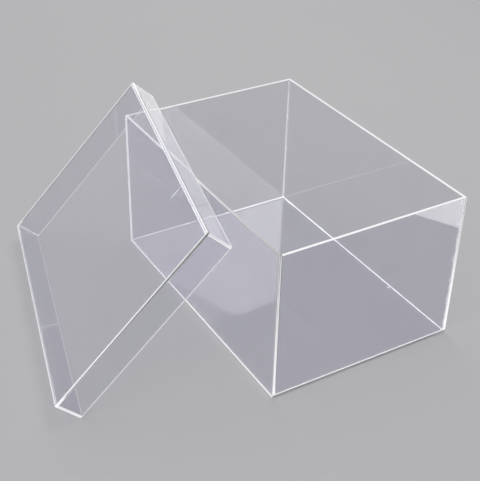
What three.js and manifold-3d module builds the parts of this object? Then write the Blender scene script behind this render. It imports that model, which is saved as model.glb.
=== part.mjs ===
// Clear acrylic shoe display box. Five cemented sheets make an open-top box, and five more make a tray lid that
// drops over it. The lid is shown taken off: its lower long rim stands on the same surface as the box, its upper
// long rim lies over the tops of the front and left walls, and the box's front left corner reaches into the tray.
// Millimetres, +Z up, X along the box's length, origin at the middle of the base's underside.
import * as THREE from 'three';
import { ConvexGeometry } from 'three/addons/geometries/ConvexGeometry.js';
import { mergeVertices } from 'three/addons/utils/BufferGeometryUtils.js';
import Module from 'manifold-3d';

const wasm = await Module();
wasm.setup();

// Box, outside sizes
const boxLength = 350;
const boxWidth = 238;
const boxHeight = 183;

// Sheet stock and its finished edges
const sheet = 3;
const arris = 0.4;

// Lid: its outside depth with the panel, and its play over the box on each side
const lidDepth = 34;
const lidPlay = 0.8;

// Cemented joints: the gap between two sheets, the film of cement in it and the fillet drawn into the corner
const jointGap = 0.3;
const filmThickness = 0.2;
const filletLeg = 1.2;
const filletSteps = 5;

// How the lid leans: its turn about the vertical, how far its left end overhangs the box's front left corner,
// measured along its own long edge, and the gap left where it rests on the box
const leanTurn = THREE.MathUtils.degToRad(-13.75);
const leanOverhang = 41.5;
const restGap = 0.3;

// Sizes that follow from the ones above
const lidLength = boxLength + 2 * (sheet + lidPlay);
const lidWidth = boxWidth + 2 * (sheet + lidPlay);
const cementGap = (jointGap - filmThickness) / 2;

const acrylic = new THREE.MeshStandardMaterial({
  color: '#d8d7e2',
  roughness: 0.06,
  metalness: 0,
  transparent: true,
  opacity: 0.3,
});
const cement = new THREE.MeshStandardMaterial({
  color: '#f3f2f6',
  roughness: 0.45,
  metalness: 0,
  transparent: true,
  opacity: 0.7,
});

// A named piece of the assembly
function piece(name, geometry, material) {
  const mesh = new THREE.Mesh(geometry, material);
  mesh.name = name;
  return mesh;
}

// A closed three.js geometry as a solid that can be joined
function solid(geometry) {
  const bare = geometry.clone();
  bare.deleteAttribute('normal');
  bare.deleteAttribute('uv');
  const merged = mergeVertices(bare);
  return new wasm.Manifold(new wasm.Mesh({
    numProp: 3,
    vertProperties: new Float32Array(merged.attributes.position.array),
    triVerts: new Uint32Array(merged.index.array),
  }));
}

// Two overlapping geometries joined into one
function join(first, second) {
  const { vertProperties, triVerts } = solid(first).add(solid(second)).getMesh();
  const geometry = new THREE.BufferGeometry();
  geometry.setAttribute('position', new THREE.BufferAttribute(new Float32Array(vertProperties), 3));
  geometry.setIndex(new THREE.BufferAttribute(new Uint32Array(triVerts), 1));
  geometry.computeVertexNormals();
  return geometry;
}

// A section in X and Y, drawn out along Z between two stations
function drawnOut(section, [from, to]) {
  const geometry = new THREE.ExtrudeGeometry(section, { depth: to - from, bevelEnabled: false });
  return geometry.translate(0, 0, from);
}

// A full-size plate lying on its outer face, which is the one with the arris round it
function plate(length, width) {
  const corners = [
    [0, arris],
    [arris, 0],
    [sheet, 0],
  ];
  const points = [];
  for (const [z, inset] of corners) {
    for (const sx of [-1, 1]) {
      for (const sy of [-1, 1]) {
        points.push(new THREE.Vector3(sx * (length / 2 - inset), sy * (width / 2 - inset), z));
      }
    }
  }
  return new ConvexGeometry(points);
}

// A strip of sheet that stands on edge along X, its outer face on Y = 0, with both arrises of its free edge
function strip(run, height) {
  const section = new THREE.Shape([
    new THREE.Vector2(0, 0),
    new THREE.Vector2(sheet, 0),
    new THREE.Vector2(sheet, height - arris),
    new THREE.Vector2(sheet - arris, height),
    new THREE.Vector2(arris, height),
    new THREE.Vector2(0, height - arris),
  ]);
  const alongX = new THREE.Matrix4().makeBasis(
    new THREE.Vector3(0, 1, 0),
    new THREE.Vector3(0, 0, 1),
    new THREE.Vector3(1, 0, 0),
  );
  return drawnOut(section, [-run / 2, run / 2]).applyMatrix4(alongX);
}

// A cement bead. In its section the face that carries the joint is Y = 0 and the standing sheet's inner face is
// X = 0, so the film lies at negative X under the standing sheet and the fillet fills the corner at positive X.
// Film and fillet each run along Z between their own two stations.
function bead(filmSpan, filletSpan) {
  const low = cementGap;
  const high = cementGap + filmThickness;
  const tip = filletLeg - cementGap;
  const film = new THREE.Shape([
    new THREE.Vector2(cementGap - sheet, low),
    new THREE.Vector2(jointGap, low),
    new THREE.Vector2(jointGap, high),
    new THREE.Vector2(cementGap - sheet, high),
  ]);
  const fillet = new THREE.Shape();
  fillet.moveTo(low, low);
  fillet.lineTo(low + tip, low);
  fillet.absarc(low + tip, low + tip, tip, -Math.PI / 2, -Math.PI, true);
  fillet.closePath();
  const filletBody = new THREE.ExtrudeGeometry(fillet, {
    depth: filletSpan[1] - filletSpan[0],
    bevelEnabled: false,
    curveSegments: filletSteps,
  }).translate(0, 0, filletSpan[0]);
  return join(drawnOut(film, filmSpan), filletBody);
}

// Sets a bead's section axes and its corner point in the frame of the side that it belongs to
function setBead(mesh, inward, away, corner) {
  const along = new THREE.Vector3().crossVectors(inward, away);
  mesh.applyMatrix4(new THREE.Matrix4().makeBasis(inward, away, along).setPosition(corner));
  return mesh;
}

// A cemented tray that lies on its plate with the open side up. The long sides run the full length and cover the
// ends of the short ones. Side names go round from the one that faces -Y, seen from the open side.
function tray({ length, width, depth, plateName, sideName, seamName, cornerName }) {
  const group = new THREE.Group();
  group.add(piece(plateName, plate(length, width), acrylic));
  const X = new THREE.Vector3(1, 0, 0);
  const Y = new THREE.Vector3(0, 1, 0);
  const Z = new THREE.Vector3(0, 0, 1);
  const foot = sheet + jointGap;
  for (let turn = 0; turn < 4; turn += 1) {
    const isLong = turn % 2 === 0;
    const half = (isLong ? width : length) / 2;
    const run = isLong ? length : width - 2 * foot;
    const side = new THREE.Group();
    side.rotation.z = turn * Math.PI / 2;

    const wall = piece(sideName(turn), strip(run, depth - foot), acrylic);
    wall.position.set(0, -half, foot);
    side.add(wall);

    const filmHalf = run / 2 - cementGap;
    const filletStop = isLong ? length / 2 - foot : width / 2 - sheet - filletLeg;
    const filletHalf = filletStop - cementGap;
    const seam = piece(seamName(turn), bead([-filmHalf, filmHalf], [-filletHalf, filletHalf]), cement);
    side.add(setBead(seam, Y, Z, new THREE.Vector3(0, sheet - half, sheet)));

    if (!isLong) {
      const filmSpan = [foot, depth - arris];
      const filletSpan = [sheet + filletLeg + cementGap, depth - arris];
      const reversed = ([from, to]) => [-to, -from];
      const leftEnd = piece(cornerName(turn, -1), bead(reversed(filmSpan), reversed(filletSpan)), cement);
      side.add(setBead(leftEnd, Y, X, new THREE.Vector3(-run / 2 - jointGap, sheet - half, 0)));
      const rightEnd = piece(cornerName(turn, 1), bead(filmSpan, filletSpan), cement);
      side.add(setBead(rightEnd, Y, X.clone().negate(), new THREE.Vector3(run / 2 + jointGap, sheet - half, 0)));
    }
    group.add(side);
  }
  return group;
}

// The lid is turned over, so its front and back change places while left and right stay
const boxSides = ['front', 'right', 'back', 'left'];
const lidSides = ['back', 'right', 'front', 'left'];

// The corner at one end of a short side: its right end meets the next side round, its left end the one before
function cornerOf(sides, turn, end) {
  return `${sides[(turn + end + 4) % 4]}_${sides[turn]}`;
}

function buildBox() {
  return tray({
    length: boxLength,
    width: boxWidth,
    depth: boxHeight,
    plateName: 'base',
    sideName: (turn) => `${boxSides[turn]}_wall`,
    seamName: (turn) => `${boxSides[turn]}_base_bead`,
    cornerName: (turn, end) => `${cornerOf(boxSides, turn, end)}_corner_bead`,
  });
}

// The lid leans so that the free inner edge of its back rim lies a rest gap above the wall tops, while the panel's
// inner face lies a rest gap from the box's front left top corner.
function buildLid() {
  const slope = Math.asin((boxHeight + restGap) / (lidWidth - sheet));
  const edgeCut = arris * Math.min(Math.sin(slope), Math.cos(slope));
  const cornerHeight = boxHeight - arris;

  const turnedOver = tray({
    length: lidLength,
    width: lidWidth,
    depth: lidDepth,
    plateName: 'lid_panel',
    sideName: (turn) => `lid_${lidSides[turn]}_rim`,
    seamName: (turn) => `lid_${lidSides[turn]}_panel_bead`,
    cornerName: (turn, end) => `lid_${cornerOf(lidSides, turn, end)}_corner_bead`,
  });
  // The free outer edge of the front rim comes to the group's origin, so that the lid tips about it
  turnedOver.position.set(lidLength / 2 - leanOverhang, lidWidth / 2, lidDepth);
  turnedOver.rotation.x = Math.PI;

  const tipped = new THREE.Group();
  tipped.rotation.x = slope;
  tipped.add(turnedOver);

  // The box's corner lies this far behind the front rim's foot, square to the rim
  const foot = -edgeCut;
  const panelDepth = lidDepth - sheet - restGap;
  const reach = ((cornerHeight - foot) * Math.cos(slope) - panelDepth) / Math.sin(slope);
  const corner = new THREE.Vector3(-boxLength / 2, -boxWidth / 2, 0);
  const backward = new THREE.Vector3(-Math.sin(leanTurn), Math.cos(leanTurn), 0);

  const lid = new THREE.Group();
  lid.rotation.z = leanTurn;
  lid.position.copy(corner).addScaledVector(backward, -reach).setZ(foot);
  lid.add(tipped);
  return lid;
}

const shoeDisplayBox = new THREE.Group();
shoeDisplayBox.add(buildBox(), buildLid());

export default shoeDisplayBox;
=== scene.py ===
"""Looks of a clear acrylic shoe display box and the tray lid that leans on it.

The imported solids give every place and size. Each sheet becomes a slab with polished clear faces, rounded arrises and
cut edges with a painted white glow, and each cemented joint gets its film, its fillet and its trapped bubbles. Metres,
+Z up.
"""

import logging
import math
from collections.abc import Callable, Iterator
from dataclasses import asdict, dataclass, replace
from enum import Enum
from typing import Any, Optional, Union

import bmesh
import bpy
from mathutils import Matrix, Vector


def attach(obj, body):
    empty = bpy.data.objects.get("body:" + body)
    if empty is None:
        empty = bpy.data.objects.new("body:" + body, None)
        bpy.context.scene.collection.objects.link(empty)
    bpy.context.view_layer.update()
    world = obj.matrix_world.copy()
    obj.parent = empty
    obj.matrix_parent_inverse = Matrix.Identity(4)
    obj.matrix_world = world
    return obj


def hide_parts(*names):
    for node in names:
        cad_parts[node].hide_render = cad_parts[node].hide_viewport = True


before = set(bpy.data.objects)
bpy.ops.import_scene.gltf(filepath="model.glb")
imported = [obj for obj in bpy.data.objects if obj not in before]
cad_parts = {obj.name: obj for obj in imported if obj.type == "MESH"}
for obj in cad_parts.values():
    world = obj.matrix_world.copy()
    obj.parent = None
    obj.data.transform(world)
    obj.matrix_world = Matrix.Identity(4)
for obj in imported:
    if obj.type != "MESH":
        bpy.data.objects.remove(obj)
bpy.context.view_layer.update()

log = logging.getLogger("shoe_display_box")

MM = 0.001
# Corner attributes of a cut edge, which set its painted glow
GLOW_LAYERS = ("glow", "core", "across")
# Seeds that the joints of one tray may use
SEEDS_PER_TRAY = 100
Colour = tuple[float, float, float]
Point = tuple[float, float, float]
Fade = tuple[float, float]


class Body(Enum):
    """The two bodies of the object, by the names that the frame gives them."""

    BOX = "box"
    LID = "lid"


class Side(Enum):
    """The sides of a tray: its four walls, the plate that closes it and its open side."""

    FRONT = "front"
    RIGHT = "right"
    BACK = "back"
    LEFT = "left"
    PLATE = "plate"
    OPEN = "open"


WALLS = (Side.FRONT, Side.RIGHT, Side.BACK, Side.LEFT)
LONG_WALLS = (Side.FRONT, Side.BACK)
SHORT_WALLS = (Side.RIGHT, Side.LEFT)


class Slot(Enum):
    """The material slots of a sheet's mesh."""

    FACE = 0
    EDGE = 1


# Node trees


def math_method(operation: str, swapped: bool = False) -> Callable[["Term", Any], "Term"]:
    """A method of a term that adds one Math node.

    Args:
        operation: The node's operation.
        swapped: Whether the other value comes first.

    Returns:
        The method.
    """

    def method(term: "Term", other: Any = 0.0) -> "Term":
        """Adds the node."""
        first, second = (other, term) if swapped else (term, other)
        return term.graph.node("ShaderNodeMath", {0: first, 1: second}, operation=operation)

    return method


class Term:
    """A node's output socket that takes part in Python expressions.

    A comparison gives 1 where it holds and 0 elsewhere. Angles are in radians.
    """

    __add__ = math_method("ADD")
    __radd__ = math_method("ADD", swapped=True)
    __sub__ = math_method("SUBTRACT")
    __rsub__ = math_method("SUBTRACT", swapped=True)
    __mul__ = math_method("MULTIPLY")
    __rmul__ = math_method("MULTIPLY", swapped=True)
    __truediv__ = math_method("DIVIDE")
    __gt__ = math_method("GREATER_THAN")
    __lt__ = math_method("LESS_THAN")
    larger = math_method("MAXIMUM")
    sine = math_method("SINE")
    cosine = math_method("COSINE")

    def __init__(self, graph: "Graph", socket: bpy.types.NodeSocket) -> None:
        """Keeps the socket and the tree that it belongs to."""
        self.graph = graph
        self.socket = socket

    def out(self, key: Union[str, int]) -> "Term":
        """Another output of the same node."""
        return Term(self.graph, find_socket(self.socket.node.outputs, key))

    def step(self, start: float, stop: float) -> "Term":
        """A smooth step from 0 at start to 1 at stop."""
        sockets = {"Value": self, "From Min": start, "From Max": stop}
        return self.graph.node("ShaderNodeMapRange", sockets, interpolation_type="SMOOTHSTEP")


Value = Union[float, int, Term]


def find_socket(sockets: Any, key: Union[str, int]) -> bpy.types.NodeSocket:
    """One socket of a node.

    Args:
        sockets: A node's inputs or outputs.
        key: The socket's place, or its identifier or name.

    Returns:
        The first socket in use that fits.
    """
    if isinstance(key, int):
        return sockets[key]
    for socket in sockets:
        if socket.enabled and key in (socket.identifier, socket.name):
            return socket
    raise KeyError(key)


class Graph:
    """A node tree that is filled by expressions."""

    def __init__(self, tree: bpy.types.NodeTree) -> None:
        """Starts on an emptied tree."""
        self.tree = tree
        tree.nodes.clear()

    def node(self, kind: str, sockets: Optional[dict[Union[str, int], Any]] = None, **settings: Any) -> Term:
        """Adds any node.

        Args:
            kind: The node's type.
            sockets: Values or terms for its inputs.
            **settings: Its own settings, which are set first.

        Returns:
            Its first output in use. The term of a node without outputs holds no socket.
        """
        made = self.tree.nodes.new(kind)
        for name, value in settings.items():
            setattr(made, name, value)
        for key, value in (sockets or {}).items():
            socket = find_socket(made.inputs, key)
            for part in value if isinstance(value, list) else [value]:
                if isinstance(part, Term):
                    self.tree.links.new(part.socket, socket)
                else:
                    socket.default_value = part
        shown = [socket for socket in made.outputs if socket.enabled]
        return Term(self, shown[0] if shown else None)

    def vector(self, x: Value = 0.0, y: Value = 0.0, z: Value = 0.0) -> Term:
        """A vector from three values."""
        return self.node("ShaderNodeCombineXYZ", {"X": x, "Y": y, "Z": z})

    def blend(self, share: Value, first: Any, second: Any) -> Term:
        """A colour between two colours, by the share of the second one."""
        sockets = {"Factor_Float": share, "A_Color": first, "B_Color": second}
        return self.node("ShaderNodeMix", sockets, data_type="RGBA")

    def attribute(self, name: str) -> Term:
        """A value that the mesh holds."""
        return self.node("ShaderNodeAttribute", attribute_name=name).out("Fac")

    def noise(self, place: Term, scale: float, detail: float = 2.0, roughness: float = 0.5) -> Term:
        """Cloudy noise between 0 and 1, with so many features to the metre."""
        sockets = {"Vector": place, "Scale": scale, "Detail": detail, "Roughness": roughness}
        return self.node("ShaderNodeTexNoise", sockets)

    def place(self) -> Term:
        """The object's own coordinates."""
        return self.node("ShaderNodeTexCoord").out("Object")

    def scaled(self, colour: Colour, share: Term) -> Term:
        """A colour times a value."""
        return self.node("ShaderNodeVectorMath", {0: colour, "Scale": share}, operation="SCALE")


def rgba(colour: Colour) -> tuple[float, float, float, float]:
    """A colour with full alpha."""
    return (*colour, 1.0)


# Finishes


@dataclass(frozen=True)
class Finish:
    """A finish, of which one material is made."""

    name: str  # of the material

    def surface(self, graph: Graph) -> Term:
        """The finish's shader.

        Args:
            graph: The tree to add it to.

        Returns:
            The shader.
        """
        raise NotImplementedError

    def make(self) -> bpy.types.Material:
        """Makes the material.

        Returns:
            A new material with the finish's shader.
        """
        material = bpy.data.materials.new(self.name)
        material.use_nodes = True
        graph = Graph(material.node_tree)
        graph.node("ShaderNodeOutputMaterial", {"Surface": self.surface(graph)})
        return material


@dataclass(frozen=True)
class ClearAcrylic(Finish):
    """Polished cast sheet: clear, faintly tinted, with slow waves, wiped smudges and a little lint."""

    tint: Colour = (0.90, 0.895, 0.935)  # what one sheet lets through
    smudge_tint: Colour = (0.875, 0.87, 0.91)  # the same where the face was wiped
    shadow_tint: Colour = (0.955, 0.955, 0.97)  # what one face leaves of the light that lamps send through it
    clarity: float = 0.97  # share of the light that passes, the rest being a faint haze
    ior: float = 1.49  # index of refraction
    roughness: float = 0.012  # of a clean face
    smudge_roughness: float = 0.035  # what a smudge adds to it
    lint_roughness: float = 0.25  # what a speck of lint adds to it
    wave_height: float = 0.06 * MM  # of the slow waves, in metres

    def surface(self, graph: Graph) -> Term:
        """The clear shader of a sheet's two faces, which lets lamps through to what lies behind.

        Args:
            graph: The tree to add it to.

        Returns:
            The shader.
        """
        place = graph.place()
        waves = graph.noise(place, scale=9.0, detail=1.0)
        smudge = graph.noise(place, scale=21.0, detail=4.0, roughness=0.6).step(start=0.52, stop=0.78)
        specks = graph.node("ShaderNodeTexVoronoi", {"Vector": place, "Scale": 240.0})
        lint = 1.0 - specks.step(start=0.04, stop=0.08)
        bump = graph.node("ShaderNodeBump", {"Strength": 1.0, "Distance": self.wave_height, "Height": waves})
        glass = graph.node("ShaderNodeBsdfPrincipled", {
            "Base Color": graph.blend(smudge, rgba(self.tint), rgba(self.smudge_tint)),
            "Roughness": self.roughness + smudge * self.smudge_roughness + lint * self.lint_roughness,
            "IOR": self.ior,
            "Transmission Weight": self.clarity,
            "Normal": bump,
        })
        path = graph.node("ShaderNodeLightPath")
        passes = path.out("Is Shadow Ray").larger(path.out("Is Diffuse Ray"))
        through = graph.node("ShaderNodeBsdfTransparent", {"Color": rgba(self.shadow_tint)})
        return graph.node("ShaderNodeMixShader", {0: passes, 1: glass, 2: through})


@dataclass(frozen=True)
class CutEdge(Finish):
    """A sheet's sawn and polished edge, painted white and given a painted glow that stands for the light the sheet
    carries.

    The attributes in GLOW_LAYERS hold how much painted glow an edge has, how clear the line along it is, and how far a
    point lies from that line, which ends at -1 and 1.
    """

    sheet: ClearAcrylic  # the finish of the sheet itself, which shows where an edge has less painted glow
    white: Colour = (0.58, 0.58, 0.585)  # painted white of a glowing edge, which stands for the light the sheet carries
    dull: Colour = (0.5, 0.5, 0.515)  # of the marks that the saw left
    # Painted glow: light given off at an edge whose glow is 1, in place of what the sheet gathers
    gathered: Colour = (0.42, 0.42, 0.425)
    roughness: float = 0.28  # of the polish
    mark_roughness: float = 0.2  # what a saw mark adds to it
    steady: float = 0.86  # the share of its painted glow that an edge keeps everywhere
    drift: float = 0.28  # what slow changes along it add to that at most

    def surface(self, graph: Graph) -> Term:
        """The shader of a sheet's cut edges, with their painted white and painted glow.

        Args:
            graph: The tree to add it to.

        Returns:
            The shader.
        """
        place = graph.place()
        marks = graph.noise(place, scale=420.0).step(start=0.45, stop=0.75)
        drift = graph.noise(place, scale=16.0)
        glow, core, across = (graph.attribute(name) for name in GLOW_LAYERS)
        # Painted white and painted glow, standing for the light that the sheet carries to its edge
        white = graph.node("ShaderNodeBsdfPrincipled", {
            "Base Color": graph.blend(marks, rgba(self.white), rgba(self.dull)),
            "Roughness": self.roughness + marks * self.mark_roughness,
            "Emission Color": graph.scaled(self.gathered, glow),
            "Emission Strength": 1.0,
        })
        # The painted white thins out along a clear middle line, which leaves two painted bright lines
        line = (1.0 - across * across).step(start=0.3, stop=0.9)
        share = glow * (self.steady + drift * self.drift) * (1.0 - core * line)
        return graph.node("ShaderNodeMixShader", {0: share, 1: self.sheet.surface(graph), 2: white})


@dataclass(frozen=True)
class Cement(Finish):
    """Dried solvent cement: glossy, and clear or whitish by joint.

    The attribute "cloud" holds how far the cement of a joint whitened, which also sets its painted glow.
    """

    colour: Colour = (0.95, 0.95, 0.965)
    grain_colour: Colour = (0.88, 0.88, 0.9)  # in the grain
    clear: float = 0.05  # cover of a joint that came out clear
    whitened: float = 0.55  # what a joint that whitened adds to it
    mottled: float = 0.4  # what its cloudier places add to that
    # Painted glow of fully whitened cement, in place of the light that it takes from the sheets
    gathered: Colour = (0.5, 0.5, 0.505)
    roughness: float = 0.2  # of its smoothest places
    mottle_roughness: float = 0.3  # what a cloudier place adds to it

    def surface(self, graph: Graph) -> Term:
        """The shader of the cement beads.

        Args:
            graph: The tree to add it to.

        Returns:
            The shader.
        """
        place = graph.place()
        mottle = graph.noise(place, scale=45.0, detail=3.0, roughness=0.6).step(start=0.3, stop=0.7)
        cloud = graph.attribute("cloud")
        grain = graph.noise(place, scale=900.0)
        bump = graph.node("ShaderNodeBump", {"Strength": 0.5, "Distance": 0.05 * MM, "Height": grain})
        return graph.node("ShaderNodeBsdfPrincipled", {
            "Base Color": graph.blend(grain, rgba(self.colour), rgba(self.grain_colour)),
            "Roughness": self.roughness + mottle * self.mottle_roughness,
            "Alpha": self.clear + cloud * (self.whitened + mottle * self.mottled),
            # Painted glow, as strong as the cement is whitened
            "Emission Color": graph.scaled(self.gathered, cloud),
            "Emission Strength": 1.0,
            "Normal": bump,
        })


@dataclass(frozen=True)
class PaleFloor(Finish):
    """Plain matt floor that fades into the pale backdrop."""

    colour: Colour
    backdrop: Colour  # what it fades to
    fade: Fade = (0.7, 2.2)  # where the fade starts and ends, in metres from the middle
    mottle_gain: float = 1.02  # how many times as bright as the floor a mottle is

    def surface(self, graph: Graph) -> Term:
        """The floor's shader.

        Args:
            graph: The tree to add it to.

        Returns:
            The shader.
        """
        place = graph.place()
        away = graph.node("ShaderNodeVectorMath", {0: place}, operation="LENGTH").out("Value")
        mottle = graph.noise(place, scale=14.0, detail=5.0, roughness=0.6)
        paler = tuple(part * self.mottle_gain for part in self.colour)
        colour = graph.blend(mottle, rgba(self.colour), rgba(paler))
        matt = graph.node("ShaderNodeBsdfDiffuse", {"Color": colour})
        far = graph.node("ShaderNodeEmission", {"Color": rgba(self.backdrop)})
        return graph.node("ShaderNodeMixShader", {0: away.step(*self.fade), 1: matt, 2: far})


@dataclass(frozen=True)
class CardLight(Finish):
    """The face of a light card, which only shows mirrored in the acrylic."""

    radiance: float  # how bright it is, where 1 is white
    mirrors: int  # how many mirror images it takes to see it

    def surface(self, graph: Graph) -> Term:
        """The card's shader, which is clear until enough mirrors lie between.

        Args:
            graph: The tree to add it to.

        Returns:
            The shader.
        """
        mirrored = graph.node("ShaderNodeLightPath").out("Glossy Depth") > self.mirrors - 0.5
        shine = graph.node("ShaderNodeEmission", {"Strength": self.radiance})
        clear = graph.node("ShaderNodeBsdfTransparent")
        return graph.node("ShaderNodeMixShader", {0: mirrored, 1: clear, 2: shine})

    def make(self) -> bpy.types.Material:
        """Makes the material, which doesn't count as a lamp.

        Returns:
            A new material with the card's shader.
        """
        material = super().make()
        material.cycles.emission_sampling = "NONE"
        return material


# Objects and frames


def add_object(name: str, data: Any) -> bpy.types.Object:
    """Puts a new object in the scene.

    Args:
        name: The object's name.
        data: Its mesh, lamp or camera.

    Returns:
        The object.
    """
    added = bpy.data.objects.new(name, data)
    bpy.context.scene.collection.objects.link(added)
    return added


def axes_matrix(x: Vector, y: Vector, z: Vector, origin: Vector) -> Matrix:
    """The matrix of a frame with these axes and this origin."""
    return Matrix([[x[row], y[row], z[row], origin[row]] for row in range(3)] + [[0, 0, 0, 1]])


# Sheets


@dataclass
class Block:
    """A box along a tray's own axes."""

    low: Vector  # its lowest corner
    high: Vector  # its highest corner

    @classmethod
    def around(cls, node: str, to_tray: Matrix) -> "Block":
        """The box round a CAD node.

        Args:
            node: The node's name.
            to_tray: From the part's frame to the tray's.

        Returns:
            The node's box along the tray's axes.
        """
        points = [to_tray @ vertex.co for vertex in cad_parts[node].data.vertices]
        low = Vector([min(point[axis] for point in points) for axis in range(3)])
        high = Vector([max(point[axis] for point in points) for axis in range(3)])
        return cls(low, high)

    @property
    def middle(self) -> Vector:
        """The box's middle."""
        return (self.low + self.high) / 2

    @property
    def thin_axis(self) -> int:
        """The axis along which the box is thinnest."""
        return min(range(3), key=lambda axis: self.high[axis] - self.low[axis])

    def share(self, axis: int, point: Vector) -> float:
        """How far a point lies along the box, from 0 at its low face to 1 at its high one."""
        return (point[axis] - self.low[axis]) / (self.high[axis] - self.low[axis])

    def face(self, axis: int, sign: float) -> float:
        """Where one face lies on its axis."""
        return self.high[axis] if sign > 0 else self.low[axis]


@dataclass(frozen=True)
class Glow:
    """How much painted glow a cut edge has at its two ends."""

    white: Fade  # how much painted white it has, from 0 for clear; past 1 it only gives off more painted light
    core: Fade = (0.0, 0.0)  # how clear the line along it is, which leaves two painted bright lines
    slit: Fade = (0.38, 0.25)  # where that line lies in the sheet's thickness, and half its width, as shares

    def turned(self) -> "Glow":
        """The same, with its ends changed over."""
        return replace(self, white=self.white[::-1], core=self.core[::-1])

    def at(self, along: float, across: float) -> tuple[float, ...]:
        """What the corner attributes hold at a place of the edge.

        Args:
            along: The place's share of the edge's run.
            across: Its share of the sheet's thickness.

        Returns:
            How much painted white the edge has, how clear its line is, and how far the place lies from that line.
        """
        faded = (start + (stop - start) * along for start, stop in (self.white, self.core))
        place, reach = self.slit
        return (*faded, (across - place) / reach)


@dataclass
class Sheet:
    """One sheet of acrylic, cut to size."""

    node: str  # the CAD node that it stands for
    block: Block  # its extent along the tray's axes
    polished: Vector  # the direction of the face or edge whose arrises are rounded
    # How much painted glow the cut edge that faces a direction has, from the low to the high end of its run, by axis
    # and sign
    glow: dict[tuple[int, int], Glow]
    arris: float = 0.65 * MM  # width of a rounded arris
    arris_steps: int = 3  # how many flats round it
    broken_edge: float = 0.12 * MM  # width of the flat that breaks each other edge
    facing: float = 0.9  # least cosine between two directions that count as the same
    flat: float = 0.98  # least cosine between the sheet's thin axis and the normal of one of its two faces
    sharp: float = math.radians(60)  # least angle of an edge that has yet to be broken, in radians

    def mesh(self, place: Matrix) -> bpy.types.Mesh:
        """The slab, with its edges' painted glow in corner attributes.

        Args:
            place: From the tray's frame to the part's.

        Returns:
            A closed mesh with one slot for faces and one for edges.
        """
        shape = bmesh.new()
        bmesh.ops.create_cube(shape, size=1.0)
        span = self.block.high - self.block.low
        bmesh.ops.transform(shape, matrix=Matrix.Diagonal((*span, 1.0)), verts=shape.verts)
        bmesh.ops.translate(shape, vec=self.block.middle, verts=shape.verts)
        self._bevel(shape, self._polished_edges(shape), self.arris, self.arris_steps)
        self._bevel(shape, self._sharp_edges(shape), self.broken_edge, 1)
        layers = [shape.loops.layers.float.new(name) for name in GLOW_LAYERS]
        for face in shape.faces:
            self._tag(face, layers)
        mesh = bpy.data.meshes.new(self.node)
        shape.to_mesh(mesh)
        shape.free()
        mesh.transform(place)
        return mesh

    def _polished_edges(self, shape: bmesh.types.BMesh) -> list[bmesh.types.BMEdge]:
        """The edges round the polished face."""
        around = [face for face in shape.faces if face.normal.dot(self.polished) > self.facing]
        return [edge for edge in shape.edges if any(face in around for face in edge.link_faces)]

    def _sharp_edges(self, shape: bmesh.types.BMesh) -> list[bmesh.types.BMEdge]:
        """The edges that still have their right angle."""
        return [edge for edge in shape.edges if edge.calc_face_angle(0.0) > self.sharp]

    @staticmethod
    def _bevel(shape: bmesh.types.BMesh, edges: list[bmesh.types.BMEdge], width: float, steps: int) -> None:
        """Rounds some edges."""
        bmesh.ops.bevel(
            shape, geom=edges, offset=width, segments=steps, profile=0.5, affect="EDGES", clamp_overlap=True
        )

    def _tag(self, face: bmesh.types.BMFace, layers: list[Any]) -> None:
        """Gives a face its slot, and its corners their painted glow.

        Args:
            face: A face of the slab.
            layers: The layers that hold the painted glow, the clear line and the distance from it.
        """
        thin = self.block.thin_axis
        if abs(face.normal[thin]) > self.flat:
            face.material_index = Slot.FACE.value
            return
        face.material_index = Slot.EDGE.value
        axis = max((a for a in range(3) if a != thin), key=lambda a: abs(face.normal[a]))
        glow = self.glow[axis, 1 if face.normal[axis] > 0 else -1]
        for loop in face.loops:
            along, across = (self.block.share(a, loop.vert.co) for a in (3 - thin - axis, thin))
            for layer, value in zip(layers, glow.at(along, across)):
                loop[layer] = value


# Cemented joints


@dataclass(frozen=True)
class Weld:
    """How the cement of a joint came out."""

    wander: float = 0.02  # how far the film's border wanders, as a share of its depth
    bubbles: float = 25.0  # trapped bubbles to the metre
    drops: float = 6.0  # squeezed-out drops to the metre
    cloud: float = 0.0  # how far the fillet whitened, from 0 to 1, which also sets its painted glow
    film: float = 0.0  # how far the film did, with the same painted glow
    run: float = 0.0  # length of the run that one drop left on the carrier, or 0
    run_width: float = 1.0 * MM  # how wide that run is
    run_place: float = 0.5  # where it is, as a share of the joint's length


@dataclass
class Seam:
    """A cemented joint: the edge of a standing sheet on the face of the one that carries it."""

    node: str  # the CAD bead that it stands for
    block: Block  # that bead's extent along the tray's axes
    standing: Block  # the sheet whose edge is cemented
    carrier: Block  # the sheet that it stands on
    weld: Weld  # how the cement came out in it
    seed: int  # of what is random in it

    def layout(self) -> tuple[Matrix, dict[str, Any]]:
        """Where the joint runs and how large it is.

        Returns:
            The joint's own frame in the tray's frame, with X along it, Y into the corner and Z off the carrier,
            and its sizes by the names of the bead tree's inputs.
        """
        into = self.standing.thin_axis
        off = self.carrier.thin_axis
        run = 3 - into - off
        into_sign = -math.copysign(1.0, self.standing.middle[into])
        off_sign = math.copysign(1.0, self.standing.middle[off] - self.carrier.middle[off])
        axes = [Vector() for _ in range(3)]
        axes[1][into] = into_sign
        axes[2][off] = off_sign
        axes[0] = axes[1].cross(axes[2])

        corner = Vector()
        corner[into] = self.standing.face(into, into_sign)
        corner[off] = self.carrier.face(off, off_sign)
        corner[run] = self.block.face(run, -axes[0][run])
        gap = abs(self.standing.face(off, -off_sign) - corner[off])
        clearance = abs(self.block.face(off, -off_sign) - corner[off])
        length = self.block.high[run] - self.block.low[run]
        sizes = {name.replace("_", " ").title(): value for name, value in asdict(self.weld).items()}
        sizes |= {
            "Length": length,
            "Depth": abs(self.block.face(into, -into_sign) - corner[into]),
            "Leg": abs(self.block.face(into, into_sign) - corner[into]),
            "Clearance": clearance,
            "Thickness": gap - 2 * clearance,
            "Bubbles": round(self.weld.bubbles * length),
            "Drops": round(self.weld.drops * length),
            "Seed": self.seed,
        }
        return axes_matrix(*axes, corner), sizes


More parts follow.
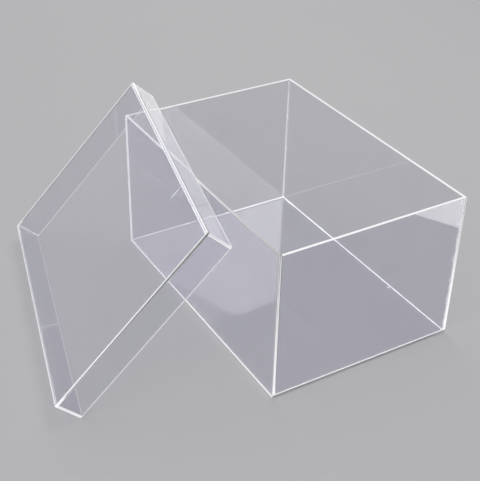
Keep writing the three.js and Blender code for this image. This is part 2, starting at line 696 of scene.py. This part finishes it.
class BeadTree(Graph):
    """The Geometry Nodes tree that draws a cement bead along a joint."""

    FLOATS = (
        "Length", "Depth", "Leg", "Clearance", "Thickness", "Wander", "Cloud", "Film", "Run", "Run Width", "Run Place",
    )
    WHOLE = ("Bubbles", "Drops", "Seed")
    STEP = 1.5 * MM  # along the joint
    NOISE_STRIDE = 17.31  # sets the noise of two seeds apart
    DRAWS = 10  # random draws that one seed has
    FILM_SWING = 6 * MM  # of its border
    FILM_RANGE = (0.42, 0.72)  # the noise at which the border starts to draw back, and at which it is back
    FILLET_POINTS = 6  # on its arc
    FILLET_INSET = 1.3 * MM  # at each end
    FILLET_SWING = 14 * MM  # of its size
    FILLET_RANGE = (0.3, 0.7)  # the noise at which it starts to get thinner, and at which it is thinnest
    FILLET_SHIFT = 40.0  # sets its noise apart from the film's
    FILLET_LOSS = (0.1, 0.5)  # of its size, at least and for the joint's wander
    BUBBLE_SIZE = (0.12 * MM, 0.5 * MM)  # half width
    BUBBLE_STRETCH = (0.8, 1.6)  # length by width
    BUBBLE_BELT = (-0.9, -0.1)  # shares of the film's depth
    BUBBLE_RISE = 0.45  # half height by the film's thickness
    DROP_SIZE = (0.3 * MM, 0.9 * MM)  # half width
    DROP_STRETCH = (0.8, 1.5)  # length by width
    DROP_RISE = 0.35  # height by half width
    DROP_BELT = (0.7, 1.3)  # where it starts and how wide it is, by the fillet's leg
    RUN_RISE = 0.2  # height by half width
    RUN_REACH = 0.48  # from the fillet to its middle, by its length

    def __init__(self, cement: bpy.types.Material) -> None:
        """Builds the tree.

        Args:
            cement: The material that the beads get.
        """
        super().__init__(bpy.data.node_groups.new("cement_bead", "GeometryNodeTree"))
        sides = self.tree.interface
        sides.new_socket("Geometry", in_out="OUTPUT", socket_type="NodeSocketGeometry")
        kinds = {name: "NodeSocketFloat" for name in self.FLOATS} | {name: "NodeSocketInt" for name in self.WHOLE}
        self.inputs = {
            name: sides.new_socket(name, in_out="INPUT", socket_type=kind).identifier for name, kind in kinds.items()
        }
        given = self.node("NodeGroupInput")
        self.given = {name: given.out(name) for name in self.inputs}
        film = self._clouded([self._film(), self._bubbles()], self.given["Film"])
        fillet = self._clouded([self._fillet()], self.given["Cloud"])
        outside = self._clouded([self._drops(), self._run()], 1.0)
        joined = self.node("GeometryNodeJoinGeometry", {"Geometry": [film, fillet, outside]})
        dressed = self.node("GeometryNodeSetMaterial", {"Geometry": joined, "Material": cement})
        self.node("NodeGroupOutput", {"Geometry": dressed})

    def _clouded(self, parts: list[Term], cloud: Value) -> Term:
        """Joins some parts of the bead and tells their mesh how far they whitened, which also sets their painted glow.

        Args:
            parts: The parts, instances among them.
            cloud: How far they whitened, from 0 to 1.

        Returns:
            One mesh.
        """
        joined = self.node("GeometryNodeJoinGeometry", {"Geometry": parts})
        real = self.node("GeometryNodeRealizeInstances", {"Geometry": joined})
        sockets = {"Geometry": real, "Name": "cloud", "Value": cloud}
        return self.node("GeometryNodeStoreNamedAttribute", sockets, data_type="FLOAT", domain="POINT")

    def _line(self, inset: float) -> Term:
        """The joint's line in short steps.

        Args:
            inset: How far it stops short of each end.

        Returns:
            The curve.
        """
        ends = {"Start": self.vector(inset), "End": self.vector(self.given["Length"] - inset)}
        line = self.node("GeometryNodeCurvePrimitiveLine", ends)
        return self.node("GeometryNodeResampleCurve", {"Curve": line, "Length": self.STEP}, mode="LENGTH")

    def _drift(self, pitch: float, shift: float) -> Term:
        """Noise along the joint.

        Args:
            pitch: Length of one swing, in metres.
            shift: Keeps two such noises apart.

        Returns:
            A value between 0 and 1.
        """
        along = self.node("GeometryNodeSplineParameter").out("Length")
        place = along / pitch + self.given["Seed"] * self.NOISE_STRIDE + shift
        sockets = {"W": place, "Scale": 1.0, "Detail": 3.0}
        return self.node("ShaderNodeTexNoise", sockets, noise_dimensions="1D")

    def _sweep(self, line: Term, profile: Term, scale: Term) -> Term:
        """A closed profile drawn along a line, its size changing on the way.

        Args:
            line: The curve to follow, along X.
            profile: The section, with the way into the tray as X and the way up from the carrier as Y.
            scale: The section's size at each point of the line.

        Returns:
            The closed mesh. A curve along X has -Y and -Z as its section's axes, so the section gets half a turn.
        """
        turned = self.node("GeometryNodeTransform", {"Geometry": profile, "Rotation": (0.0, 0.0, math.pi)})
        sockets = {"Curve": line, "Profile Curve": turned, "Scale": scale, "Fill Caps": True}
        return self.node("GeometryNodeCurveToMesh", sockets)

    def _film(self) -> Term:
        """The film between the two sheets, whose outer border wanders.

        Returns:
            Its mesh.
        """
        depth, thickness = self.given["Depth"], self.given["Thickness"]
        sides = {"Width": depth, "Height": thickness}
        section = self.node("GeometryNodeCurvePrimitiveQuadrilateral", sides)
        shift = self.vector(-0.5 * depth, self.given["Clearance"] + 0.5 * thickness)
        profile = self.node("GeometryNodeTransform", {"Geometry": section, "Translation": shift})
        drawn_back = self._drift(self.FILM_SWING, 0.0).step(*self.FILM_RANGE)
        return self._sweep(self._line(0.0), profile, 1.0 - self.given["Wander"] * drawn_back)

    def _fillet(self) -> Term:
        """The hollow fillet in the inside corner, thicker here and thinner there.

        Returns:
            Its mesh.
        """
        count = self.FILLET_POINTS
        index = self.node("GeometryNodeInputIndex")
        near = self.given["Clearance"]
        reach = self.given["Leg"] - near
        turn = index * (math.pi / 2 / (count - 1))
        on_arc = index < count - 0.5
        x = near + on_arc * reach * (1.0 - turn.sine())
        y = near + on_arc * reach * (1.0 - turn.cosine())
        points = self.node("GeometryNodePoints", {"Count": count + 1, "Position": self.vector(x, y)})
        outline = self.node("GeometryNodePointsToCurves", {"Points": points, "Weight": index})
        profile = self.node("GeometryNodeSetSplineCyclic", {"Geometry": outline, "Cyclic": True})
        least, by_wander = self.FILLET_LOSS
        thinner = self._drift(self.FILLET_SWING, self.FILLET_SHIFT).step(*self.FILLET_RANGE)
        size = 1.0 - (least + by_wander * self.given["Wander"]) * thinner
        return self._sweep(self._line(self.FILLET_INSET), profile, size)

    def _random(self, low: Value, high: Value, draw: int) -> Term:
        """A random value for each point, with a draw of its own so that no two are alike."""
        seed = self.given["Seed"] * self.DRAWS + draw
        return self.node("FunctionNodeRandomValue", {"Min": low, "Max": high, "Seed": seed})

    def _scatter(self, count: Value, place: Term, shape: Term, scale: Term) -> Term:
        """Sets a shape on some points.

        Args:
            count: How many points there are.
            place: Where each of them is.
            shape: A shape of radius 1.
            scale: Its half sizes on each point.

        Returns:
            The instances.
        """
        points = self.node("GeometryNodePoints", {"Count": count, "Position": place})
        sockets = {"Points": points, "Instance": shape, "Scale": scale}
        return self.node("GeometryNodeInstanceOnPoints", sockets)

    def _ball(self, rings: int) -> Term:
        """A low-count ball of radius 1."""
        return self.node("GeometryNodeMeshUVSphere", {"Segments": 8, "Rings": rings, "Radius": 1.0})

    def _dome(self) -> Term:
        """Such a ball, cut off flat at its middle.

        Returns:
            Its mesh.
        """
        place = self.node("ShaderNodeSeparateXYZ", {0: self.node("GeometryNodeInputPosition")})
        upper = self.vector(place.out("X"), place.out("Y"), place.out("Z").larger(0.0))
        return self.node("GeometryNodeSetPosition", {"Geometry": self._ball(rings=6), "Position": upper})

    def _bubbles(self) -> Term:
        """Flat bubbles that the film trapped.

        Returns:
            The instances.
        """
        depth, thickness = self.given["Depth"], self.given["Thickness"]
        outer, inner = self.BUBBLE_BELT
        place = self.vector(
            self._random(0.0, self.given["Length"], 1),
            self._random(outer * depth, inner * depth, 2),
            self.given["Clearance"] + 0.5 * thickness,
        )
        wide = self._random(*self.BUBBLE_SIZE, 3)
        scale = self.vector(wide * self._random(*self.BUBBLE_STRETCH, 4), wide, self.BUBBLE_RISE * thickness)
        return self._scatter(self.given["Bubbles"], place, self._ball(rings=4), scale)

    def _drops(self) -> Term:
        """Drops that were squeezed out on the carrier, most of them close to the fillet.

        Returns:
            The instances.
        """
        near, belt = self.DROP_BELT
        spread = self._random(0.0, 1.0, 5)
        place = self.vector(
            self._random(0.0, self.given["Length"], 6),
            self.given["Leg"] * (near + belt * spread * spread),
            self.given["Clearance"],
        )
        wide = self._random(*self.DROP_SIZE, 7)
        scale = self.vector(wide * self._random(*self.DROP_STRETCH, 8), wide, wide * self.DROP_RISE)
        return self._scatter(self.given["Drops"], place, self._dome(), scale)

    def _run(self) -> Term:
        """The thin run that one drop left on the carrier, square to the joint.

        Returns:
            One instance, or none where the run has no length.
        """
        length = self.given["Run"]
        place = self.vector(
            self.given["Length"] * self.given["Run Place"],
            self.given["Leg"] + self.RUN_REACH * length,
            self.given["Clearance"],
        )
        half = 0.5 * self.given["Run Width"]
        scale = self.vector(half, 0.5 * length, self.RUN_RISE * half)
        return self._scatter(length > 0.0, place, self._dome(), scale)

    def bead(self, seam: Seam, tray: Matrix) -> bpy.types.Mesh:
        """The bead of one joint as a plain mesh.

        Args:
            seam: The joint.
            tray: From the tray's frame to the part's.

        Returns:
            The mesh, in its place.
        """
        place, sizes = seam.layout()
        carrier = add_object("bead_carrier", bpy.data.meshes.new("bead_carrier"))
        modifier = carrier.modifiers.new("bead", "NODES")
        modifier.node_group = self.tree
        for name, value in sizes.items():
            modifier[self.inputs[name]] = value
        graph = bpy.context.evaluated_depsgraph_get()
        mesh = bpy.data.meshes.new_from_object(carrier.evaluated_get(graph))
        bpy.data.objects.remove(carrier)
        mesh.name = seam.node
        mesh.transform(tray @ place)
        return mesh


# Sub-assemblies


@dataclass
class EdgeGlow:
    """How much painted glow the cut edges of a tray have, from left to right, from front to back or from the plate to
    the open side.
    """

    plate: dict[Side, Glow]  # the plate's four edges
    free: dict[Side, Glow]  # the walls' free edges
    foot: dict[Side, Glow]  # the walls' edges that are cemented on the plate
    ends: dict[tuple[Side, Side], Glow]  # the walls' upright ends, by wall and by the side that they face
    butt: Glow = Glow((0.1, 0.1))  # the ends of short walls that aren't among those


@dataclass
class Tray:
    """A plate with four walls cemented on it: the box, and the lid."""

    body: Body  # that it belongs to
    plate: str  # the plate's node
    wall: str  # the walls' node names, with a place for the side
    seam: str  # the node names of the beads between walls and plate, with a place for the side
    corner: str  # the node names of the corner beads, with places for the long side and the short one
    slot: str  # the record's material slot of its sheets
    glow: EdgeGlow  # the painted glow of its edges
    welds: dict[str, Weld]  # how the cement came out in the joints that aren't clear and clean, by node
    seed: int  # of what is random in it

    def __post_init__(self) -> None:
        """Reads the tray's own frame and its sheets' boxes from the CAD nodes."""
        self.place = self._own_frame()
        to_tray = self.place.inverted()
        self.plate_block = Block.around(self.plate, to_tray)
        self.walls = {side: Block.around(self.wall.format(side.value), to_tray) for side in WALLS}
        self.to_tray = to_tray

    def _middle(self, node: str) -> Vector:
        """The middle of a CAD node's vertices."""
        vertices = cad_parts[node].data.vertices
        return sum((vertex.co for vertex in vertices), Vector()) / len(vertices)

    def _own_frame(self) -> Matrix:
        """The tray's frame: X from its left wall to its right one, Z from its plate to its open side.

        Returns:
            From that frame to the part's.
        """
        middle = {side: self._middle(self.wall.format(side.value)) for side in WALLS}
        x = (middle[Side.RIGHT] - middle[Side.LEFT]).normalized()
        opening = sum(middle.values(), Vector()) / len(WALLS) - self._middle(self.plate)
        across = middle[Side.BACK] - middle[Side.FRONT]
        z = x.cross(across).normalized()
        z = z if z.dot(opening) > 0 else -z
        y = z.cross(x)
        origin = self._middle(self.plate)
        return axes_matrix(x, y, z, origin)

    def _direction(self, side: Side) -> tuple[int, int]:
        """The axis and sign of a side of the tray.

        Args:
            side: The side.

        Returns:
            The axis, and 1 or -1 for its end.
        """
        if side in (Side.OPEN, Side.PLATE):
            return 2, (1 if side is Side.OPEN else -1)
        block = self.walls[side]
        axis = block.thin_axis
        return axis, (1 if block.middle[axis] > 0 else -1)

    def _unit(self, side: Side) -> Vector:
        """The outward direction of a side of the tray."""
        axis, sign = self._direction(side)
        return Vector([sign if a == axis else 0.0 for a in range(3)])

    def sheets(self) -> Iterator[Sheet]:
        """The tray's sheets.

        Yields:
            The plate, and then the four walls.
        """
        yield self._sheet(self.plate, self.plate_block, Side.PLATE, self.glow.plate)
        for side, block in self.walls.items():
            edges = {Side.OPEN: self.glow.free[side], Side.PLATE: self.glow.foot[side]}
            for end in SHORT_WALLS if side in LONG_WALLS else LONG_WALLS:
                edges[end] = self.glow.ends.get((side, end), self.glow.butt)
            yield self._sheet(self.wall.format(side.value), block, Side.OPEN, edges)

    def _sheet(self, node: str, block: Block, polished: Side, edges: dict[Side, Glow]) -> Sheet:
        """One sheet.

        Args:
            node: Its CAD node.
            block: Its extent along the tray's axes.
            polished: The side that its polished face or edge looks to.
            edges: How much painted glow its cut edges have, by the side that they face.

        Returns:
            The sheet, with the painted glow of its edges set along the tray's axes.
        """
        turned_over = self._direction(Side.BACK)[1] < 0
        placed = {}
        for side, glow in edges.items():
            axis, sign = self._direction(side)
            front_to_back = 3 - axis - block.thin_axis == 1
            placed[axis, sign] = glow.turned() if front_to_back and turned_over else glow
        return Sheet(node, block, self._unit(polished), placed)

    def seams(self) -> Iterator[Seam]:
        """The tray's joints.

        Yields:
            Those between walls and plate, and then those between the walls.
        """
        for number, side in enumerate(WALLS):
            yield self._seam(self.seam.format(side.value), self.walls[side], self.plate_block, number)
        for number, (long, short) in enumerate((a, b) for a in LONG_WALLS for b in SHORT_WALLS):
            node = self.corner.format(long.value, short.value)
            yield self._seam(node, self.walls[short], self.walls[long], number + len(WALLS))

    def _seam(self, node: str, standing: Block, carrier: Block, number: int) -> Seam:
        """One joint, with the number that gives it its seed."""
        return Seam(
            node=node,
            block=Block.around(node, self.to_tray),
            standing=standing,
            carrier=carrier,
            weld=self.welds.get(node, Weld()),
            seed=self.seed * SEEDS_PER_TRAY + number,
        )

    def build(self, materials: dict[str, bpy.types.Material], beads: BeadTree) -> None:
        """Makes the tray's pieces, dresses them and sets them on their body.

        Args:
            materials: The finishes of the sheets' faces and edges.
            beads: The tree that draws the cement beads.
        """
        for sheet in self.sheets():
            mesh = sheet.mesh(self.place)
            mesh.materials.append(materials["face"])
            mesh.materials.append(materials["edge"])
            self._set_down(sheet.node, mesh, self.slot)
        for seam in self.seams():
            bead = self._set_down(seam.node, beads.bead(seam, self.place), "cement")
            bead.visible_shadow = False

    def _set_down(self, node: str, mesh: bpy.types.Mesh, slot: str) -> bpy.types.Object:
        """Puts a finished mesh in the scene in place of its CAD node.

        Args:
            node: The CAD node that the piece stands for.
            mesh: The piece's mesh, in its place.
            slot: The record's material slot; not used.

        Returns:
            The piece.
        """
        piece = add_object(f"{node}_piece", mesh)
        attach(piece, self.body.value)
        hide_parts(node)
        log.info("%s: %d faces on body %s", piece.name, len(mesh.polygons), self.body.value)
        return piece


def by_wall(*glows: Glow) -> dict[Side, Glow]:
    """Glows by wall, from the front one round to the right, back and left ones."""
    return dict(zip(WALLS, glows))


def shoe_box() -> Tray:
    """The open box. Its nearer edges get the most painted glow, and its back right joint is the roughest.

    Returns:
        The box.
    """
    front, right, back, left = WALLS
    glow = EdgeGlow(
        plate=by_wall(Glow((1.5, 1.4)), Glow((0.45, 0.4)), Glow((0.4, 0.4)), Glow((0.8, 0.7))),
        free=by_wall(Glow((1.1, 0.55)), Glow((1.0, 1.0)), Glow((0.9, 1.0)), Glow((0.9, 0.9))),
        foot=by_wall(Glow((0.4, 0.4)), Glow((1.0, 1.15)), Glow((0.1, 0.1)), Glow((0.1, 0.1))),
        ends={
            (front, right): Glow((1.5, 1.0), (0.0, 0.8)),
            (front, left): Glow((1.9, 1.9)),
            (back, right): Glow((1.8, 1.1), (0.0, 0.8), slit=(0.5, 0.3)),
            (back, left): Glow((1.6, 0.8)),
            (right, back): Glow((1.1, 0.7)),
            (left, back): Glow((1.5, 0.6)),
            (left, front): Glow((1.9, 1.9)),
        },
    )
    return Tray(
        body=Body.BOX,
        plate="base",
        wall="{}_wall",
        seam="{}_base_bead",
        corner="{}_{}_corner_bead",
        slot="box_acrylic",
        glow=glow,
        welds={
            "front_base_bead": Weld(cloud=0.1),
            "left_base_bead": Weld(cloud=0.6),
            "right_base_bead": Weld(bubbles=0.0, drops=0.0),
            "back_base_bead": Weld(
                wander=0.12, bubbles=220.0, drops=30.0, cloud=0.85, run=3.5 * MM, run_width=2.2 * MM, run_place=0.29
            ),
            "front_right_corner_bead": Weld(cloud=0.3),
            "back_right_corner_bead": Weld(wander=0.55, drops=220.0, cloud=0.2, film=1.0),
            "back_left_corner_bead": Weld(bubbles=140.0, drops=60.0, cloud=0.4, film=0.2),
        },
        seed=3,
    )


def tray_lid() -> Tray:
    """The lid, turned over on its side. Its free edges get less painted glow than the edges of its panel.

    Returns:
        The lid.
    """
    front, right, back, left = WALLS
    glow = EdgeGlow(
        plate=by_wall(
            Glow((1.7, 1.8)),
            Glow((1.5, 1.0), (0.8, 1.0), slit=(0.62, 0.4)),
            Glow((1.4, 1.4), (1.0, 1.0), slit=(0.7, 0.4)),
            Glow((1.5, 1.4)),
        ),
        free=by_wall(Glow((0.7, 0.75)), Glow((0.8, 0.8)), Glow((0.95, 0.95)), Glow((0.9, 0.8))),
        foot=by_wall(Glow((0.35, 0.35)), Glow((0.0, 0.0)), Glow((0.0, 0.0)), Glow((0.0, 0.0))),
        ends={
            (front, right): Glow((1.4, 1.4), (0.5, 0.5)),
            (front, left): Glow((1.6, 1.5)),
            (back, right): Glow((1.2, 1.2), (0.8, 0.8)),
            (back, left): Glow((1.3, 1.2)),
            (left, front): Glow((1.5, 1.5)),
        },
    )
    return Tray(
        body=Body.LID,
        plate="lid_panel",
        wall="lid_{}_rim",
        seam="lid_{}_panel_bead",
        corner="lid_{}_{}_corner_bead",
        slot="lid_acrylic",
        glow=glow,
        welds={"lid_back_panel_bead": Weld(cloud=0.95, run=18 * MM, run_place=0.726)},
        seed=7,
    )


# Studio


@dataclass
class Softbox:
    """A soft studio lamp."""

    name: str
    bearing: float  # its direction from the object, in degrees from +X towards +Y
    elevation: float  # its direction above the floor, in degrees
    distance: float  # how far it stands, in metres
    size: tuple[float, float]  # its width and height, in metres
    radiance: float  # how bright its face is, where 1 is white
    mirrored: bool = True  # whether it shows mirrored in the acrylic
    aim: Point = (0.0, 0.0, 0.08)  # the point that it is turned to, in metres

    def set_up(self) -> None:
        """Sets the lamp up, turned to the object."""
        turn, lift = math.radians(self.bearing), math.radians(self.elevation)
        out = Vector((math.cos(turn) * math.cos(lift), math.sin(turn) * math.cos(lift), math.sin(lift)))
        spot = Vector(self.aim) + out * self.distance
        data = bpy.data.lights.new(self.name, "AREA")
        data.shape = "RECTANGLE"
        data.size, data.size_y = self.size
        data.energy = self.radiance * math.pi * self.size[0] * self.size[1]
        lamp = add_object(self.name, data)
        lamp.matrix_world = Matrix.Translation(spot) @ (-out).to_track_quat("-Z", "Y").to_matrix().to_4x4()
        lamp.visible_glossy = self.mirrored
        lamp.visible_transmission = self.mirrored


@dataclass
class LightCard:
    """A lit card that lights nothing and only shows mirrored in the acrylic."""

    name: str
    corners: tuple[Point, ...]  # its outline, in metres
    radiance: float  # how bright it is, where 1 is white
    mirrors: int = 1  # how many mirror images it takes to see it

    def set_up(self) -> None:
        """Sets the card up."""
        mesh = bpy.data.meshes.new(self.name)
        mesh.from_pydata(self.corners, [], [tuple(range(len(self.corners)))])
        mesh.materials.append(CardLight(self.name, self.radiance, self.mirrors).make())
        card = add_object(self.name, mesh)
        card.visible_camera = False
        card.visible_diffuse = False
        card.visible_shadow = False


@dataclass
class ViewPoint:
    """The camera, at the photograph's viewing angle."""

    aim: Point = (-0.1076, -0.0010, 0.0)  # where its axis meets the floor, in metres
    bearing: float = 59.186  # turn round the object, in degrees, where 0 looks along +Y
    elevation: float = 33.232  # height above the horizon, in degrees
    roll: float = 1.182  # how far its right side is turned up, in degrees
    distance: float = 1.3215  # from the aim, in metres
    focal_px: float = 998.6  # focal length in pixels of the photograph's frame
    centre_px: tuple[float, float] = (234.9, 242.4)  # where its axis meets the picture, in pixels
    frame_px: tuple[int, int] = (480, 481)  # the photograph's frame, in pixels
    sensor: float = 36.0  # width of its sensor, in millimetres

    def set_up(self) -> None:
        """Makes the camera and gives it to the scene."""
        turn, lift = math.radians(self.bearing), math.radians(self.elevation)
        back = Vector((math.sin(turn) * math.cos(lift), -math.cos(turn) * math.cos(lift), math.sin(lift)))
        level = Vector((0.0, 0.0, 1.0)).cross(back).normalized()
        rise = back.cross(level)
        roll = math.radians(self.roll)
        right = level * math.cos(roll) + rise * math.sin(roll)
        up = back.cross(right)
        spot = Vector(self.aim) + back * self.distance
        data = bpy.data.cameras.new("view_point")
        data.sensor_fit = "HORIZONTAL"
        data.sensor_width = self.sensor
        wide, high = self.frame_px
        data.lens = self.focal_px / wide * self.sensor
        data.shift_x = (wide / 2 - self.centre_px[0]) / wide
        data.shift_y = (self.centre_px[1] - high / 2) / wide
        camera = add_object("view_point", data)
        camera.matrix_world = axes_matrix(right, up, back, spot)
        bpy.context.scene.camera = camera


@dataclass
class Studio:
    """Pale floor, soft lamps, backdrop and camera."""

    floor_colour: Colour = (0.5, 0.5, 0.505)
    backdrop: Colour = (0.48, 0.48, 0.49)  # all round
    floor_radius: float = 8.0  # in metres
    floor_drop: float = 0.2 * MM  # how far the floor lies under the object, in metres
    sides: int = 96  # corners of the floor's outline
    bounces: int = 40  # how many surfaces light may pass, which ten sheets need
    lamps: tuple[Softbox, ...] = (
        Softbox("overhead", 120.0, 72.0, 2.0, (1.5, 1.2), 2.6),
        Softbox("camera_side", -62.0, 38.0, 2.4, (1.3, 1.3), 2.2),
        Softbox("back_left", 160.5, 25.5, 2.4, (1.2, 0.95), 1.8, mirrored=False),
    )
    cards: tuple[LightCard, ...] = (
        LightCard("card_back_left", (
            (-1.823, 1.234, 1.188), (-1.685, 1.130, 1.534), (-1.719, 0.980, 1.573), (-1.841, 0.808, 1.451),
            (-2.090, 0.446, 1.212), (-2.085, 0.607, 1.109), (-1.987, 0.964, 1.052), (-1.849, 1.252, 1.124),
        ), 1.7),
        LightCard("card_low_back", (
            (-1.720, 1.123, 0.0), (-1.299, 0.852, 0.0), (-0.553, 0.701, 0.0), (-0.811, 0.933, 0.0),
        ), 1.05),
        LightCard("card_low_right", ((0.404, 0.2507, 0.0), (0.412, 0.372, 0.0), (0.330, 0.2914, 0.0)), 2.8),
        LightCard("card_back_right", (
            (1.0, 1.6, 0.6), (2.0, 0.3, 0.6), (1.7, 0.25, 2.2), (0.8, 1.3, 2.2),
        ), 7.0, mirrors=2),
    )

    def set_up(self) -> None:
        """Builds the studio."""
        self._floor()
        self._world()
        for light in (*self.lamps, *self.cards):
            light.set_up()
        ViewPoint().set_up()
        settings = bpy.context.scene
        settings.view_settings.view_transform = "Standard"
        settings.cycles.max_bounces = self.bounces
        settings.cycles.transmission_bounces = self.bounces
        settings.cycles.transparent_max_bounces = self.bounces

    def _floor(self) -> None:
        """Lays the round floor."""
        shape = bmesh.new()
        bmesh.ops.create_circle(shape, cap_ends=True, radius=self.floor_radius, segments=self.sides)
        bmesh.ops.translate(shape, vec=(0.0, 0.0, -self.floor_drop), verts=shape.verts)
        mesh = bpy.data.meshes.new("floor")
        shape.to_mesh(mesh)
        shape.free()
        mesh.materials.append(PaleFloor("pale_floor", self.floor_colour, self.backdrop).make())
        floor = add_object("floor", mesh)

    def _world(self) -> None:
        """Surrounds the scene with the pale backdrop."""
        world = bpy.data.worlds.new("backdrop")
        world.use_nodes = True
        graph = Graph(world.node_tree)
        surface = graph.node("ShaderNodeBackground", {"Color": rgba(self.backdrop), "Strength": 1.0})
        graph.node("ShaderNodeOutputWorld", {"Surface": surface})
        bpy.context.scene.world = world


def main() -> None:
    """Builds the studio, the box and the lid."""
    logging.basicConfig(level=logging.INFO, format="%(name)s: %(message)s")
    Studio().set_up()
    beads = BeadTree(Cement("solvent_cement").make())
    for tray in (shoe_box(), tray_lid()):
        clear = ClearAcrylic(f"{tray.body.value}_sheet")
        edge = CutEdge(f"{tray.body.value}_cut_edge", clear)
        tray.build({"face": clear.make(), "edge": edge.make()}, beads)


if __name__ == "__main__":
    main()
